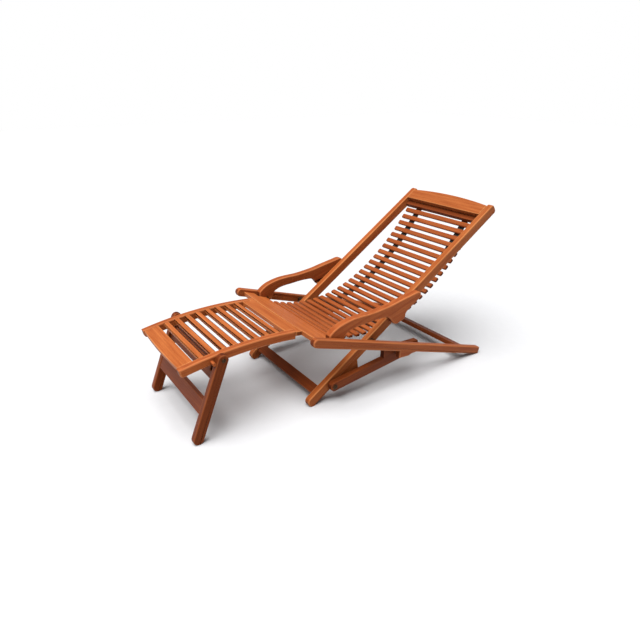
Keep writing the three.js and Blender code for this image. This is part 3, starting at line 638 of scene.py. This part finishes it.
# pivot bolts: distance out from the middle of the chair and radius, along each bolt, in mm;
# a socket is the hexagon sunk in a head, at the bolt's inner end or its outer end
boltSides = 36
socketSpec = {"apothem": 2.4, "depth": 1.7}
hexTurn = math.pi / 3
bolts = {
    "scissor_bolt": {"body": "seat_frame", "sockets": ("inner",), "steps": (
        (221.7, 5.4), (221.9, 6.6), (222.6, 8.0), (223.5, 8.8), (224.7, 9.0), (224.7, 4.0),
        (253.3, 4.0), (253.3, 10.3), (254.0, 11.0), (291.0, 11.0), (291.7, 10.3), (291.7, 4.0),
        (309.1, 4.0), (309.7, 3.4))},
    "armrest_bolt": {"body": "seat_frame", "sockets": ("inner",), "steps": (
        (256.8, 4.4), (257.3, 5.0), (289.1, 5.0), (289.1, 10.5), (289.6, 11.0), (291.2, 11.0),
        (291.7, 10.5), (291.7, 5.0), (309.1, 5.0), (309.7, 4.4))},
    "rack_bolt": {"body": "back_frame", "sockets": ("inner", "outer"), "steps": (
        (221.7, 5.4), (221.9, 6.6), (222.6, 8.0), (223.5, 8.8), (224.7, 9.0), (224.7, 5.0),
        (253.3, 5.0), (253.3, 10.4), (253.9, 11.0), (259.6, 11.0), (260.2, 10.4), (260.2, 5.0),
        (284.8, 5.0), (284.8, 11.0), (285.6, 11.0), (285.8, 9.6), (286.5, 8.8), (287.3, 7.2),
        (287.8, 5.4))},
    "leg_bolt": {"body": "footrest", "sockets": ("outer",), "steps": (
        (183.8, 3.4), (184.4, 4.0), (229.3, 4.0), (229.3, 8.0), (230.3, 7.9), (231.2, 7.2),
        (232.0, 5.9), (232.3, 4.8))},
}


def boltMesh(name, spec, side, middle):
    bm = bmesh.new()
    rings = []

    def addRing(out, radius, isSocket=False):
        ring = []
        for i in range(boltSides):
            turn = 2 * math.pi * i / boltSides
            reach = radius
            if isSocket:
                reach = radius / math.cos((turn + hexTurn / 2) % hexTurn - hexTurn / 2)
            ring.append(bm.verts.new((
                middle.x + reach * mm * math.cos(turn), side * out * mm,
                middle.z + reach * mm * math.sin(turn))))
        rings.append(ring)

    first, last = spec["steps"][0][0], spec["steps"][-1][0]
    if "inner" in spec["sockets"]:
        addRing(first + socketSpec["depth"], socketSpec["apothem"], True)
        addRing(first, socketSpec["apothem"], True)
    for out, radius in spec["steps"]:
        addRing(out, radius)
    if "outer" in spec["sockets"]:
        addRing(last, socketSpec["apothem"], True)
        addRing(last - socketSpec["depth"], socketSpec["apothem"], True)
    return skinRings(name, bm, rings)


for boltName, spec in bolts.items():
    for end, side in (("left", -1), ("right", 1)):
        nodeName = f"{boltName}_{end}"
        low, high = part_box(nodeName)
        mesh = boltMesh(nodeName + "_turned", spec, side, (low + high) / 2)
        piece = addPiece(nodeName + "_turned", mesh, zincMaterial)
        smoothOver(piece, "bolt")
        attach(piece, spec["body"])
        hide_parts(nodeName)
print("bolts plated")

# the floor is pale matt paper, with a faint mottle that breaks up its flat tone
floorPaper = {
    "reach": 14, "pale": "#B3B4B7", "paler": "#B7B8BB", "mottle": 30, "detail": 2, "roughness": 0.9,
}
floorMaterial, tree, shader = startMaterial("paleMattPaper")
place = addNode(tree, "ShaderNodeTexCoord")
paper = addNode(tree, "ShaderNodeTexNoise", {
    "Scale": floorPaper["mottle"], "Detail": floorPaper["detail"],
}, {"Vector": place.outputs["Object"]})
paperColour = addNode(tree, "ShaderNodeMix", {
    "data_type": "RGBA", 6: toLinear(floorPaper["pale"]), 7: toLinear(floorPaper["paler"]),
}, {0: paper.outputs["Fac"]})
shader.inputs["Roughness"].default_value = floorPaper["roughness"]
tree.links.new(paperColour.outputs[2], shader.inputs["Base Color"])
floorMesh = bpy.data.meshes.new("studioFloor")
floorCorners = [
    (x * floorPaper["reach"], y * floorPaper["reach"], 0)
    for x, y in ((-1, -1), (1, -1), (1, 1), (-1, 1))
]
floorMesh.from_pydata(floorCorners, [], [(0, 1, 2, 3)])
floorMesh.materials.append(floorMaterial)
floor = bpy.data.objects.new("studioFloor", floorMesh)
bpy.context.scene.collection.objects.link(floor)

# an even white room: bright behind the chair, dimmer as light on it
ambientStrength = 0.26
backdropStrength = 1.0
world = bpy.data.worlds.new("studio")
world.use_nodes = True
bpy.context.scene.world = world
tree = world.node_tree
rays = addNode(tree, "ShaderNodeLightPath")
skyStrength = addNode(tree, "ShaderNodeMapRange", {
    "To Min": ambientStrength, "To Max": backdropStrength,
}, {"Value": rays.outputs["Is Camera Ray"]})
tree.nodes["Background"].inputs["Color"].default_value = (1, 1, 1, 1)
tree.links.new(skyStrength.outputs["Result"], tree.nodes["Background"].inputs["Strength"])

# one broad soft lamp high over the foot of the chair
keyLight = {"from": (-0.28, -0.08, 0.95), "strength": 6.6, "softness": 55, "colour": "#FFFEFC"}
lightData = bpy.data.lights.new("keyLight", "SUN")
lightData.energy = keyLight["strength"]
lightData.angle = math.radians(keyLight["softness"])
lightData.color = toLinear(keyLight["colour"])[:3]
light = bpy.data.objects.new("keyLight", lightData)
light.rotation_euler = (-Vector(keyLight["from"])).to_track_quat("-Z", "Y").to_euler()
bpy.context.scene.collection.objects.link(light)
print("studio lit")
